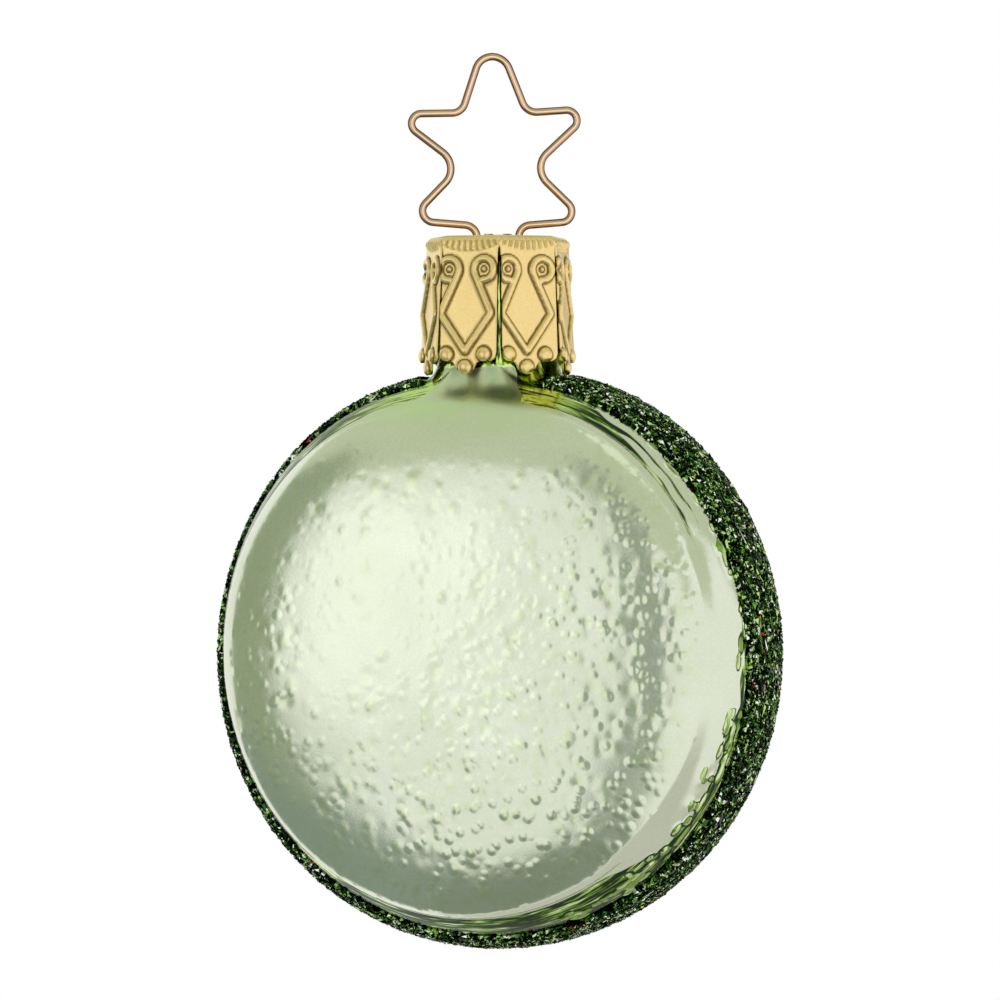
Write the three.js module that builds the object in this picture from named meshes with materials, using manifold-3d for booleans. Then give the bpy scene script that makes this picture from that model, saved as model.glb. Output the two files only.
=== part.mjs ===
// Glass macaron ornament: a hollow blown-glass disc with a glittered waist, closed by a stamped
// crown cap and hung from a wire bent into a five-pointed star. Millimetres, +Z up.
// The origin is the underside of the wire at the top of the star, where a hook bears.
// The disc stands on edge with its axis along Y.
import * as THREE from 'three';
import { mergeVertices } from 'three/addons/utils/BufferGeometryUtils.js';
import Module from 'manifold-3d';

const wasm = await Module();
wasm.setup();

// Glass bulb: a dome on each side of a rounded waist
const waistRadius = 28.2;
const creaseRadius = 25.9;
const creaseDepth = 7.2;
const domeRise = 4.6;
const domeFullness = 2.6;
const waistFullness = 2.65;
const glassWall = 0.8;

// The blown disc sinks a little round the drawn-out neck
const neckSag = 1.05;
const sagWidth = 17;
const neckRadius = 5.8;
const flareReach = 1.6;
const flareRise = 1.7;
const flareMargin = 0.25;
const flareBite = 0.08;

// Glitter coat round the waist, with its open ring for the neck
const coatThickness = 0.5;
const coatHalfWidth = 4.3;
const coatGap = 0.3;
const coatNeckMargin = 0.5;

// Crown cap: a sheet-metal plate with folded petals
const petalCount = 7;
const sheet = 0.35;
const capHeight = 13.6;
const foldRadius = 0.75;
const petalSplay = 3;
const capClearance = 0.3;
const tipClearance = 0.45;
const slitTop = 0.1;
const slitBottom = 0.35;
const crownTurn = 24;

// Stamped relief of a petal: beads, scrolls and flutes, set a little to one side of its middle
const stampShift = 0.35;
const beadRadius = 0.75;
const beadReach = 2.0;
const beadFlatness = 0.6;
const beadLift = 0.15;
const lobeRadius = 1.05;
const shoulderRise = 1.25;
const cornerRadius = 0.9;
const ridgeRadius = 0.38;
const ridgeRelief = 0.28;
const scrollRadius = 1.05;
const scrollReach = 1.85;
const scrollDepth = 3.35;
const eyeRadius = 0.32;
const diamondReach = 2.65;
const diamondDepth = 7.6;
const diamondBottom = 11.35;
const flutesPerPetal = 10;
const fluteRadius = 0.18;
const fluteOnFold = 0.25;
const fluteOuter = 7.75;

// Star hanger: one wire bent round pins, each with its place and the bend of the wire's middle line
const wireRadius = 0.4;
const wireClearance = 0.35;
const starHeight = 17.7;
const apexBend = 1.9;
const shoulderPin = { x: 3.97, z: 13.7, bend: 1.4 };
const armPin = { x: 7.1, z: 11.3, bend: 1.0 };
const waistPin = { x: 6.0, z: 6.75, bend: 1.6 };
const footPin = { x: 6.2, z: 2.55, bend: 1.1 };
const legSpacing = 4.1;
const legBend = 1.2;
const hangerPlay = 3;
const splayBend = 1.5;
const legClearance = 0.3;
const legLength = 11.6;

// Facets
const outsideFacets = { segments: 52, domeRings: 7, waistRings: 8 };
const insideFacets = { segments: 34, domeRings: 5, waistRings: 4 };
const neckSegments = 34;
const flareRings = 4;
const foldFacets = 3;
const outlineFacets = 4;
const wireSides = 8;
const wireArcStep = 24;
const ridgeSides = 6;
const ridgeArcStep = 36;
const beadSegments = 8;
const eyeSegments = 6;
const holeSides = 12;

const degrees = Math.PI / 180;
const sector = Math.PI / petalCount;

// Solids

function solidOf(geometry) {
  const bare = geometry.clone();
  bare.deleteAttribute('normal');
  bare.deleteAttribute('uv');
  const merged = mergeVertices(bare, 1e-5);
  const mesh = new wasm.Mesh({
    numProp: 3,
    vertProperties: new Float32Array(merged.attributes.position.array),
    triVerts: new Uint32Array(merged.index.array),
  });
  return new wasm.Manifold(mesh);
}

function geometryOf(solid) {
  const mesh = solid.getMesh();
  const geometry = new THREE.BufferGeometry();
  geometry.setAttribute('position', new THREE.BufferAttribute(mesh.vertProperties, 3));
  geometry.setIndex(new THREE.BufferAttribute(mesh.triVerts, 1));
  geometry.computeVertexNormals();
  return geometry;
}

function reshape(geometry, move) {
  const position = geometry.attributes.position;
  const point = new THREE.Vector3();
  for (let i = 0; i < position.count; i += 1) {
    point.fromBufferAttribute(position, i);
    move(point);
    position.setXYZ(i, point.x, point.y, point.z);
  }
  return geometry;
}

// Wire and ridge lines: straight runs between round bends

// Joins pins in the order given. A bend is positive where the line turns left round its pin.
function lineRoundPins(pins) {
  const path = new THREE.Path();
  const touch = pins.map(() => []);
  for (let i = 0; i + 1 < pins.length; i += 1) {
    const along = new THREE.Vector2(pins[i + 1].x - pins[i].x, pins[i + 1].z - pins[i].z);
    const lean = (pins[i + 1].bend - pins[i].bend) / along.length();
    along.normalize();
    const side = Math.sqrt(1 - lean * lean);
    const left = new THREE.Vector2(
      lean * along.x - side * along.y,
      lean * along.y + side * along.x,
    );
    touch[i].push(left);
    touch[i + 1].push(left);
  }
  pins.forEach((pin, i) => {
    const [arrive, leave] = touch[i].length === 2 ? touch[i] : [touch[i][0], touch[i][0]];
    if (i === 0) path.moveTo(pin.x - pin.bend * leave.x, pin.z - pin.bend * leave.y);
    else path.lineTo(pin.x - pin.bend * arrive.x, pin.z - pin.bend * arrive.y);
    if (pin.bend === 0 || touch[i].length < 2) return;
    const turn = Math.sign(pin.bend);
    const from = Math.atan2(-turn * arrive.y, -turn * arrive.x);
    const to = Math.atan2(-turn * leave.y, -turn * leave.x);
    path.absarc(pin.x, pin.z, Math.abs(pin.bend), from, to, turn < 0);
  });
  return path;
}

// A plane line as a curve in the XZ plane whose stations are the line's own points,
// so that bends get their rings and straight runs need none.
class StationCurve extends THREE.Curve {
  constructor(points) {
    super();
    this.points = points;
  }

  getPoint(t, target = new THREE.Vector3()) {
    const place = THREE.MathUtils.clamp(t, 0, 1) * (this.points.length - 1);
    const index = Math.min(Math.floor(place), this.points.length - 2);
    return target.lerpVectors(this.points[index], this.points[index + 1], place - index);
  }

  getPointAt(u, target) {
    return this.getPoint(u, target);
  }

  getTangentAt(u, target) {
    return this.getTangent(u, target);
  }
}

function rodAlong(points, radius, sides) {
  const section = new THREE.Shape();
  for (let i = 0; i < sides; i += 1) {
    const angle = (2 * Math.PI * i) / sides;
    if (i === 0) section.moveTo(radius, 0);
    else section.lineTo(radius * Math.cos(angle), radius * Math.sin(angle));
  }
  return new THREE.ExtrudeGeometry(section, {
    steps: points.length - 1,
    extrudePath: new StationCurve(points),
  });
}

function sweepOf(arc) {
  const turned = (arc.aEndAngle - arc.aStartAngle) * (arc.aClockwise ? -1 : 1);
  return THREE.MathUtils.euclideanModulo(turned, 2 * Math.PI);
}

// A rod round the pins, with a ring at least every arcStep degrees of a bend
function rodRoundPins(pins, radius, sides, arcStep) {
  const points = [];
  for (const curve of lineRoundPins(pins).curves) {
    const steps = curve.isEllipseCurve ? Math.ceil(sweepOf(curve) / (arcStep * degrees)) : 1;
    for (const point of curve.getPoints(steps)) {
      const place = new THREE.Vector3(point.x, 0, point.y);
      if (points.length === 0 || place.distanceTo(points.at(-1)) > 1e-4) points.push(place);
    }
  }
  return rodAlong(points, radius, sides);
}

// Glass bulb, measured from the middle of the disc

// Radius of the disc at a depth from its middle plane
function discRadius(depth, inset = 0) {
  const waistDrop = waistRadius - creaseRadius;
  const y = Math.abs(depth);
  if (y <= creaseDepth - inset) {
    return waistRadius - inset - waistDrop * (y / creaseDepth) ** waistFullness;
  }
  const rise = Math.min(1, (y - creaseDepth + inset) / domeRise);
  return (creaseRadius - inset) * (1 - rise ** domeFullness) ** (1 / domeFullness);
}

function sagAt(x, z) {
  if (z <= 0) return 0;
  return neckSag * Math.exp(-((x / sagWidth) ** 2)) * (z / waistRadius) ** 2;
}

function sink(point) {
  point.z -= sagAt(point.x, point.z);
}

// Height of the glass over a place on the plan, near the neck
function discTop(x, y, inset = 0) {
  const radius = discRadius(y, inset);
  const height = Math.sqrt(Math.max(0, radius * radius - x * x));
  return height - sagAt(x, height);
}

function discProfile(inset, { domeRings, waistRings }) {
  const points = [];
  const domeFoot = creaseDepth - inset;
  for (let i = 0; i <= domeRings; i += 1) {
    const angle = (i / domeRings) * (Math.PI / 2);
    const across = Math.sin(angle) ** (2 / domeFullness);
    const rise = Math.cos(angle) ** (2 / domeFullness);
    points.push(new THREE.Vector2((creaseRadius - inset) * across, domeFoot + domeRise * rise));
  }
  for (let i = inset > 0 ? 0 : 1; i < waistRings / 2; i += 1) {
    const depth = domeFoot * (1 - (2 * i) / waistRings);
    points.push(new THREE.Vector2(discRadius(depth, inset), depth));
  }
  const mirrored = points.map((point) => new THREE.Vector2(point.x, -point.y));
  points.push(new THREE.Vector2(waistRadius - inset, 0));
  points[0].x = 0;
  mirrored[0].x = 0;
  return mirrored.concat(points.reverse());
}

function disc(inset, facets) {
  const profile = discProfile(inset, facets);
  return solidOf(reshape(new THREE.LatheGeometry(profile, facets.segments), sink));
}

const boreRadius = neckRadius - glassWall;
const capApothem = neckRadius + capClearance + sheet;
const splaySlope = Math.tan(petalSplay * degrees);
const petalDrop = capHeight - foldRadius;
const foldStart = capApothem - foldRadius;
const tipApothem = capApothem + petalDrop * splaySlope;
const tipHeight = discTop(tipApothem - sheet, 0) + tipClearance;
const capTop = tipHeight + capHeight;
const neckTop = capTop - sheet - capClearance;

// The neck runs down as a tube and flares in a quarter ellipse on to the disc: wide along the
// disc, and short across it, where the crease is near.
function neckWithFlare() {
  const profile = [new THREE.Vector2(0, neckTop), new THREE.Vector2(neckRadius, neckTop)];
  for (let i = 0; i <= flareRings; i += 1) {
    const angle = (i / flareRings) * (Math.PI / 2);
    profile.push(new THREE.Vector2(neckRadius + 1 - Math.cos(angle), Math.sin(angle)));
  }
  profile.push(new THREE.Vector2(neckRadius + 1, -1), new THREE.Vector2(0, -1));
  const acrossReach = creaseDepth - flareMargin - neckRadius;
  const skirtDepth = 2 * glassWall;
  const geometry = new THREE.LatheGeometry(profile.reverse(), neckSegments);
  geometry.rotateX(Math.PI / 2);
  reshape(geometry, (point) => {
    const radius = Math.hypot(point.x, point.y);
    const level = point.z;
    const step = radius > neckRadius ? radius - neckRadius : 0;
    const scale = radius > 0 ? 1 / radius : 0;
    const cosine = point.x * scale;
    const sine = point.y * scale;
    const core = Math.min(radius, neckRadius);
    point.x = (core + flareReach * step) * cosine;
    point.y = (core + acrossReach * step) * sine;
    if (level > 1) return;
    const alongEdge = (neckRadius + flareReach) * cosine;
    const edge = discTop(alongEdge, (neckRadius + acrossReach) * sine) - flareBite;
    point.z = level < 0 ? edge - skirtDepth : edge + flareRise * (1 - level);
    if (radius === 0) point.z = discTop(0, neckRadius + acrossReach) - skirtDepth;
  });
  return solidOf(geometry);
}

function neckBore() {
  const top = neckTop + glassWall;
  const bottom = discTop(0, boreRadius, glassWall) - glassWall;
  const geometry = new THREE.CylinderGeometry(boreRadius, boreRadius, top - bottom, neckSegments);
  geometry.rotateX(Math.PI / 2);
  geometry.translate(0, 0, (top + bottom) / 2);
  return solidOf(geometry);
}

function glassBulb() {
  const outside = disc(0, outsideFacets).add(neckWithFlare());
  const inside = disc(glassWall, insideFacets).add(neckBore());
  return geometryOf(outside.subtract(inside));
}

// Glitter coat: a thin ring laid over the waist

function glitterBand() {
  const outer = [];
  const inner = [];
  const { segments, waistRings } = outsideFacets;
  for (let i = 0; i <= waistRings; i += 1) {
    const depth = coatHalfWidth * ((2 * i) / waistRings - 1);
    const radius = discRadius(depth);
    outer.push(new THREE.Vector2(radius + coatGap + coatThickness, depth));
    inner.push(new THREE.Vector2(radius + coatGap, depth));
  }
  const loop = outer.concat(inner.reverse(), [outer[0].clone()]);
  const ring = reshape(new THREE.LatheGeometry(loop, segments), sink);
  const cutRadius = neckRadius + flareReach + coatNeckMargin;
  const cut = new THREE.CylinderGeometry(cutRadius, cutRadius, waistRadius, neckSegments);
  cut.rotateX(Math.PI / 2);
  cut.translate(0, 0, waistRadius);
  return geometryOf(solidOf(ring).subtract(solidOf(cut)));
}

// Crown cap, measured from the top of its plate, with +Z up and its petals hanging down

// A place on the outside of the sheet, by the distance along the flat blank from its middle
function foldedPlace(across, along) {
  const foldAngle = Math.PI / 2 - petalSplay * degrees;
  const onArc = (along - foldStart) / foldRadius;
  const angle = THREE.MathUtils.clamp(onArc, 0, foldAngle);
  const flat = Math.min(along, foldStart);
  const below = Math.max(0, along - foldStart - foldRadius * foldAngle);
  const out = flat + foldRadius * Math.sin(angle) + below * Math.sin(petalSplay * degrees);
  const down = foldRadius * (1 - Math.cos(angle)) + below * Math.cos(petalSplay * degrees);
  return new THREE.Vector3(across, out, -down);
}

// The bent strip in section: rim of the plate, fold and splayed petal, one sheet thick
function petalStrip() {
  const splay = petalSplay * degrees;
  const root = foldStart - 2 * sheet;
  const section = new THREE.Shape();
  section.moveTo(root, 0);
  section.lineTo(foldStart, 0);
  section.absarc(foldStart, -foldRadius, foldRadius, Math.PI / 2, splay, true);
  section.lineTo(tipApothem, -capHeight);
  section.lineTo(tipApothem - sheet * Math.cos(splay), -capHeight - sheet * Math.sin(splay));
  section.absarc(foldStart, -foldRadius, foldRadius - sheet, splay, Math.PI / 2, false);
  section.lineTo(root, -sheet);
  const width = 2 * tipApothem * Math.tan(sector);
  const geometry = new THREE.ExtrudeGeometry(section, {
    depth: width,
    bevelEnabled: false,
    curveSegments: foldFacets,
  });
  geometry.translate(0, 0, -width / 2);
  geometry.applyMatrix4(new THREE.Matrix4().makeBasis(
    new THREE.Vector3(0, 1, 0),
    new THREE.Vector3(0, 0, 1),
    new THREE.Vector3(1, 0, 0),
  ));
  return solidOf(geometry);
}

// What the slits and the scalloped end leave of a petal, seen from the front
function petalOutline() {
  const half = (apothem, slit) => (apothem - sheet) * Math.tan(sector) - slit / 2;
  const top = half(capApothem, slitTop);
  const bottom = half(tipApothem, slitBottom);
  const shoulder = -capHeight + shoulderRise;
  const cornerHeight = shoulder + cornerRadius;
  const lobeHeight = -capHeight + lobeRadius;
  const rise = Math.asin((shoulder - lobeHeight) / lobeRadius);
  const quarter = Math.PI / 2;
  const outline = new THREE.Shape();
  outline.moveTo(-top, sheet);
  outline.lineTo(-top, -foldRadius);
  outline.absarc(-bottom + cornerRadius, cornerHeight, cornerRadius, 2 * quarter, 3 * quarter);
  outline.absarc(stampShift, lobeHeight, lobeRadius, 2 * quarter - rise, 4 * quarter + rise);
  outline.absarc(bottom - cornerRadius, cornerHeight, cornerRadius, 3 * quarter, 4 * quarter);
  outline.lineTo(top, -foldRadius);
  outline.lineTo(top, sheet);
  const depth = 2 * tipApothem;
  const geometry = new THREE.ExtrudeGeometry(outline, {
    depth,
    bevelEnabled: false,
    curveSegments: outlineFacets,
  });
  geometry.rotateX(Math.PI / 2);
  geometry.translate(0, depth, 0);
  return solidOf(geometry);
}

// Lays relief that was made in the XZ plane on to the petal's front
function onPetal(geometry, relief, outward = 0) {
  return reshape(geometry, (point) => {
    const face = capApothem + (-point.z - foldRadius) * splaySlope;
    const lift = point.y * relief + outward;
    point.set(point.x + stampShift, face + lift, point.z + lift * splaySlope);
  });
}

function scrollRidge(side) {
  const pins = [
    { x: scrollReach - 0.15 * scrollRadius, z: -scrollDepth - 1.03 * scrollRadius, bend: 0 },
    { x: scrollReach, z: -scrollDepth, bend: scrollRadius },
    { x: diamondReach - ridgeRadius, z: -diamondDepth, bend: -ridgeRadius },
    { x: 0, z: -diamondBottom, bend: 0 },
  ];
  const placed = pins.map((pin) => ({ x: side * pin.x, z: pin.z, bend: side * pin.bend }));
  const ridge = rodRoundPins(placed, ridgeRadius, ridgeSides, ridgeArcStep);
  return onPetal(ridge, ridgeRelief / ridgeRadius);
}

function stampedBead(x, z, radius, segments) {
  const bead = new THREE.SphereGeometry(radius, segments, segments / 2);
  bead.translate(x, 0, z);
  return onPetal(bead, beadFlatness, radius * beadLift);
}

function flute(index) {
  const pitch = (2 * Math.PI) / (petalCount * flutesPerPetal);
  const angle = (index + 0.5 - flutesPerPetal / 2) * pitch;
  const foldLength = foldRadius * (Math.PI / 2 - petalSplay * degrees);
  const foldEnd = foldStart + foldLength;
  const stops = [foldEnd - fluteOnFold * foldLength, fluteOuter * Math.cos(angle)];
  const points = stops.map((along) => foldedPlace(along * Math.tan(angle), along));
  return rodAlong(points, fluteRadius, 4);
}

function petal() {
  const beadRow = -capHeight + shoulderRise + beadRadius;
  const relief = [
    stampedBead(-beadReach, beadRow, beadRadius, beadSegments),
    stampedBead(beadReach, beadRow, beadRadius, beadSegments),
    stampedBead(0, -capHeight + beadRadius, beadRadius, beadSegments),
  ];
  for (const side of [-1, 1]) {
    relief.push(scrollRidge(side));
    relief.push(stampedBead(side * scrollReach, -scrollDepth, eyeRadius, eyeSegments));
  }
  for (let i = 0; i < flutesPerPetal; i += 1) relief.push(flute(i));
  let solid = petalStrip();
  for (const geometry of relief) solid = solid.add(solidOf(geometry));
  return solid.intersect(petalOutline());
}

function crownCap() {
  const plateRadius = foldStart / Math.cos(sector);
  const plate = new THREE.CylinderGeometry(plateRadius, plateRadius, sheet, petalCount);
  plate.rotateX(Math.PI / 2);
  plate.translate(0, 0, -sheet / 2);
  let solid = solidOf(plate);
  const onePetal = petal();
  for (let i = 0; i < petalCount; i += 1) {
    solid = solid.add(onePetal.rotate([0, 0, (i * 360) / petalCount]));
  }
  const holeRadius = wireRadius + wireClearance;
  for (const side of [-1, 1]) {
    const hole = new THREE.CylinderGeometry(holeRadius, holeRadius, 4 * sheet, holeSides);
    hole.rotateX(Math.PI / 2);
    hole.translate((side * legSpacing) / 2, 0, 0);
    solid = solid.subtract(solidOf(hole));
  }
  return geometryOf(solid);
}

// Star hanger, measured from the top of the cap's plate

function starHanger() {
  const straightEnd = -(sheet + hangerPlay + capClearance);
  const legEnd = { x: boreRadius - legClearance - wireRadius, z: -legLength, bend: 0 };
  const rightHalf = [
    { ...shoulderPin },
    { ...armPin, bend: -armPin.bend },
    { ...waistPin },
    { ...footPin, bend: -footPin.bend },
    { x: legSpacing / 2 + legBend, z: 0, bend: legBend },
    { x: legSpacing / 2 + splayBend, z: straightEnd, bend: splayBend },
    legEnd,
  ];
  const leftHalf = rightHalf.map((pin) => ({ ...pin, x: -pin.x })).reverse();
  const apexPin = { x: 0, z: starHeight - apexBend, bend: -apexBend };
  return rodRoundPins([...leftHalf, apexPin, ...rightHalf], wireRadius, wireSides, wireArcStep);
}

// Finishes and assembly

function finish(colour, roughness, metalness) {
  return new THREE.MeshStandardMaterial({ color: colour, roughness, metalness });
}

function piece(name, geometry, material) {
  const mesh = new THREE.Mesh(geometry, material);
  mesh.name = name;
  return mesh;
}

const crown = new THREE.Group();
crown.position.z = wireRadius - starHeight;
crown.rotation.z = crownTurn * degrees;
crown.add(
  piece('crown_cap', crownCap(), finish(0xe2c98c, 0.35, 1)),
  piece('star_hanger', starHanger(), finish(0xb8895c, 0.25, 1)),
);

const bulb = new THREE.Group();
bulb.position.z = wireRadius - starHeight - capTop;
bulb.add(
  piece('glass_bulb', glassBulb(), finish(0xc9d9b4, 0.3, 0.8)),
  piece('glitter_band', glitterBand(), finish(0x16401c, 0.6, 0.3)),
);

const ornament = new THREE.Group();
ornament.add(crown, bulb);

export default ornament;
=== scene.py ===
# %% [markdown]
# # A glass macaron ornament
# A hollow disc of blown glass hangs from a wire that is bent into a star. Its two faces are satin,
# its waist is coated with glitter, and a stamped crown cap closes its neck. The working model gives
# the frame: every piece made here takes the place of one of its nodes and rides where that one rides.

# %% Load the frame
import math

import bmesh
import bpy
import numpy as np
from mathutils import Matrix, Vector, noise


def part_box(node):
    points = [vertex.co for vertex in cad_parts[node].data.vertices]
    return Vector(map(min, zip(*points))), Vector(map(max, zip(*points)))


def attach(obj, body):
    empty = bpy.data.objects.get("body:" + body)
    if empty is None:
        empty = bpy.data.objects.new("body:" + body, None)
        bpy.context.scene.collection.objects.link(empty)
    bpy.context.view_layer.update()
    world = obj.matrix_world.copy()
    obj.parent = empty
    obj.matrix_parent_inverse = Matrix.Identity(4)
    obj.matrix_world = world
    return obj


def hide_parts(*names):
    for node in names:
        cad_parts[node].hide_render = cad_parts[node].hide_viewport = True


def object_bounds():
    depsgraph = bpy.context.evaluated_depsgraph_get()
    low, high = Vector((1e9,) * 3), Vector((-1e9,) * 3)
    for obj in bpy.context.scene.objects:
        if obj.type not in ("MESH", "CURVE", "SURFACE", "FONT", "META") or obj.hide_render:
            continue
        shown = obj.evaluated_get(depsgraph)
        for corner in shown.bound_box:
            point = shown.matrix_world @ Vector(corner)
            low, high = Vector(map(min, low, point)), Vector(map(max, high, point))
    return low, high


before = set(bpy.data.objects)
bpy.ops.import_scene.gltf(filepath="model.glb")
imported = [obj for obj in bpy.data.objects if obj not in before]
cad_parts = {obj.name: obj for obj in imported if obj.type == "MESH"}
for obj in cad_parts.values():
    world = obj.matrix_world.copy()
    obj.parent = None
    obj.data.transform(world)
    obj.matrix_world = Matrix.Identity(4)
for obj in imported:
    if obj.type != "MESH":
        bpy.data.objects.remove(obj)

cad_low, cad_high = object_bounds()

# %% [markdown]
# Sizes that the working model shows are read from its boxes, and the others are written in
# millimetres, as on a maker's drawing. Shapes are made in millimetres round their own middle,
# and the last step of each piece sets it in the frame, which is in metres.

# %% Sizes from the frame
mm = 0.001
bulb_low, bulb_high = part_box("glass_bulb")
coat_low, coat_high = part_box("glitter_band")
cap_low, cap_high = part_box("crown_cap")
star_low, star_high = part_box("star_hanger")

waist_radius = (bulb_high.x - bulb_low.x) / 2 / mm
dome_depth = (bulb_high.y - bulb_low.y) / 2 / mm
disc_middle = Vector((0, 0, bulb_low.z + waist_radius * mm))
neck_top = (bulb_high.z - disc_middle.z) / mm
coat_radius = (coat_high.x - coat_low.x) / 2 / mm
coat_half_width = (coat_high.y - coat_low.y) / 2 / mm
cap_height = (cap_high.z - cap_low.z) / mm
plate_middle = Vector((0, 0, cap_high.z))
wire_radius = star_high.z / 2 / mm
star_height = (star_high.z - cap_high.z) / mm - wire_radius
crown_turn = math.radians(24)
print(f"disc {2 * waist_radius:.1f} wide and {2 * dome_depth:.1f} deep, cap {cap_height:.1f} tall,"
      f" wire {2 * wire_radius:.1f} thick, in mm")

# %% [markdown]
# Numpy moves many vertices at once. These few helpers carry a bmesh's vertices to it and back, and
# give soft steps, smooth noise, a set order of faces and the last step of every piece.

# %% Helpers for shapes
def places(bm):
    return np.array([vertex.co for vertex in bm.verts])


def put(bm, rows):
    for vertex, row in zip(bm.verts, rows):
        vertex.co = row


def soft_step(value, low, high):
    share = np.clip((value - low) / (high - low), 0, 1)
    return share * share * (3 - 2 * share)


def within(value, rise_from, rise_to, fall_from, fall_to):
    """Rises from 0 to 1 over the first two limits and falls back over the last two."""
    return soft_step(value, rise_from, rise_to) * (1 - soft_step(value, fall_from, fall_to))


def cloud(rows, size, seed):
    """Smooth noise from -1 to 1 at each place, with lumps of about that size."""
    shift = Vector((seed * 17.3, seed * 5.1, seed * 9.7))
    return np.array([noise.noise(Vector(row) / size + shift) for row in rows])


def absorb(bm, other):
    """Adds another shape to this one and frees it."""
    carrier = bpy.data.meshes.new("carrier")
    other.to_mesh(carrier)
    other.free()
    bm.from_mesh(carrier)
    bpy.data.meshes.remove(carrier)


def order_faces(bm):
    """Lists faces by their corners. Some operators list them in another order in each run."""
    bm.verts.index_update()
    count = len(bm.verts)

    def rank(face):
        lowest, second, *_, highest = sorted(vertex.index for vertex in face.verts)
        return (lowest * count + second) * count + highest

    bm.faces.sort(key=rank)


def finished_piece(name, bm, middle, turn, body, node, material, smooth=True):
    """Sets a shape of millimetres in the frame, as an object at the origin that rides on a body."""
    place = Matrix.Translation(middle) @ Matrix.Rotation(turn, 4, "Z") @ Matrix.Scale(mm, 4)
    bmesh.ops.transform(bm, matrix=place, verts=bm.verts)
    mesh = bpy.data.meshes.new(name)
    bm.to_mesh(mesh)
    bm.free()
    mesh.polygons.foreach_set("use_smooth", [smooth] * len(mesh.polygons))
    mesh.materials.append(material)
    made = bpy.data.objects.new(name, mesh)
    bpy.context.scene.collection.objects.link(made)
    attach(made, body)
    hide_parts(node)
    triangles = sum(len(face.vertices) - 2 for face in mesh.polygons)
    print(f"{name}: {len(mesh.vertices)} vertices, {triangles} triangles")
    return made


# %% [markdown]
# A finish is a small web of nodes. Written out node by node it would hide the recipe, so one class
# wraps a socket and lets sums be written as Python, and one method makes any node: its type, its
# settings, then the values or links of its sockets.

# %% Helpers for finishes
class Flow:
    """What comes out of one node's socket, on its way to others."""

    def __init__(self, finish, socket):
        self.finish = finish
        self.socket = socket

    def maths(self, operation, *values):
        sockets = dict(enumerate(values))
        return self.finish.node("Math", {"operation": operation}, sockets)

    def __add__(self, other):
        return self.maths("ADD", self, other)

    def __sub__(self, other):
        return self.maths("SUBTRACT", self, other)

    def __rsub__(self, other):
        return self.maths("SUBTRACT", other, self)

    def __mul__(self, other):
        return self.maths("MULTIPLY", self, other)

    def most(self, other):
        return self.maths("MAXIMUM", self, other)

    def step(self, low, high, first=0, last=1):
        """Rises softly from first to last while the value goes from low to high."""
        limits = {"Value": self, "From Min": low, "From Max": high, "To Min": first, "To Max": last}
        return self.finish.node("MapRange", {"interpolation_type": "SMOOTHSTEP"}, limits)

    __radd__ = __add__
    __rmul__ = __mul__


class Finish:
    """The nodes of one material, or of the world."""

    def __init__(self, owner):
        self.owner = owner
        owner.use_nodes = True
        self.tree = owner.node_tree
        self.tree.nodes.clear()

    def node(self, kind, settings=None, sockets=None, output=0):
        made = self.tree.nodes.new("ShaderNode" + kind)
        for name, value in (settings or {}).items():
            setattr(made, name, value)
        for name, value in (sockets or {}).items():
            socket = made.inputs[name]
            if isinstance(value, Flow):
                self.tree.links.new(value.socket, socket)
            elif socket.type == "RGBA":
                socket.default_value = (*value, 1)
            else:
                socket.default_value = value
        return Flow(self, made.outputs[output])

    def mix(self, share, first, last):
        """One colour turning into another."""
        return self.node("Mix", {"data_type": "RGBA"}, {0: share, 6: first, 7: last}, 2)

    def place(self):
        return self.node("TexCoord", output="Object")

    def carried(self, name, output="Fac"):
        """A value that the mesh carries."""
        return self.node("Attribute", {"attribute_name": name}, output=output)

    def grain(self, size, detail=2.0, roughness=0.5, where=None):
        """Noise with lumps of about that size in millimetres."""
        sockets = {"Vector": where or self.place(), "Scale": 1 / (size * mm), "Detail": detail,
                   "Roughness": roughness}
        return self.node("TexNoise", sockets=sockets)

    def bump(self, height, depth):
        """A normal from a height of 0 to 1 that stands for a depth in millimetres."""
        return self.node("Bump", sockets={"Height": height, "Distance": depth * mm, "Strength": 1.0})

    def surface(self, **values):
        """The principled surface. Names of sockets are written with underscores."""
        sockets = {name.replace("_", " "): value for name, value in values.items()}
        shader = self.node("BsdfPrincipled", sockets=sockets)
        out = self.tree.nodes.new("ShaderNodeOutputMaterial")
        self.tree.links.new(shader.socket, out.inputs["Surface"])
        return self.owner


def new_finish(name):
    return Finish(bpy.data.materials.new(name))


# %% [markdown]
# ## The blown glass
# The disc is blown in a mould: a shallow dome on each side of a rounded waist, with a crease
# where they meet. A grid rolled up into a ball has the right make-up of rings and poles: its rows
# become rings, and each ring is laid on the ornament's outline. Rings are spaced evenly over the
# dome, so that blisters are as crisp at the edge as in the middle, and close together at its foot.

# %% Outline of the glass
crease_radius = 25.9
crease_depth = 7.2
dome_fullness = 2.6
waist_fullness = 2.65
glass_wall = 0.8
neck_sag = 1.05
sag_width = 17
foot_ends = 3.6
dome_rise = dome_depth - crease_depth


def disc_radius(depth, inset=0):
    depth = np.abs(depth)
    waist = waist_radius - inset
    waist = waist - (waist_radius - crease_radius) * (depth / crease_depth) ** waist_fullness
    rise = np.clip((depth - crease_depth + inset) / dome_rise, 0, 1)
    dome = (crease_radius - inset) * (1 - rise ** dome_fullness) ** (1 / dome_fullness)
    return np.where(depth <= crease_depth - inset, waist, dome)


def sag_at(x, z):
    """The glass sinks a little round the drawn-out neck."""
    return np.where(z > 0, neck_sag * np.exp(-((x / sag_width) ** 2)) * (z / waist_radius) ** 2, 0)


def disc_top(x, y, inset=0):
    height = np.sqrt(np.maximum(0, disc_radius(y, inset) ** 2 - x * x))
    return height - sag_at(x, height)


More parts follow.
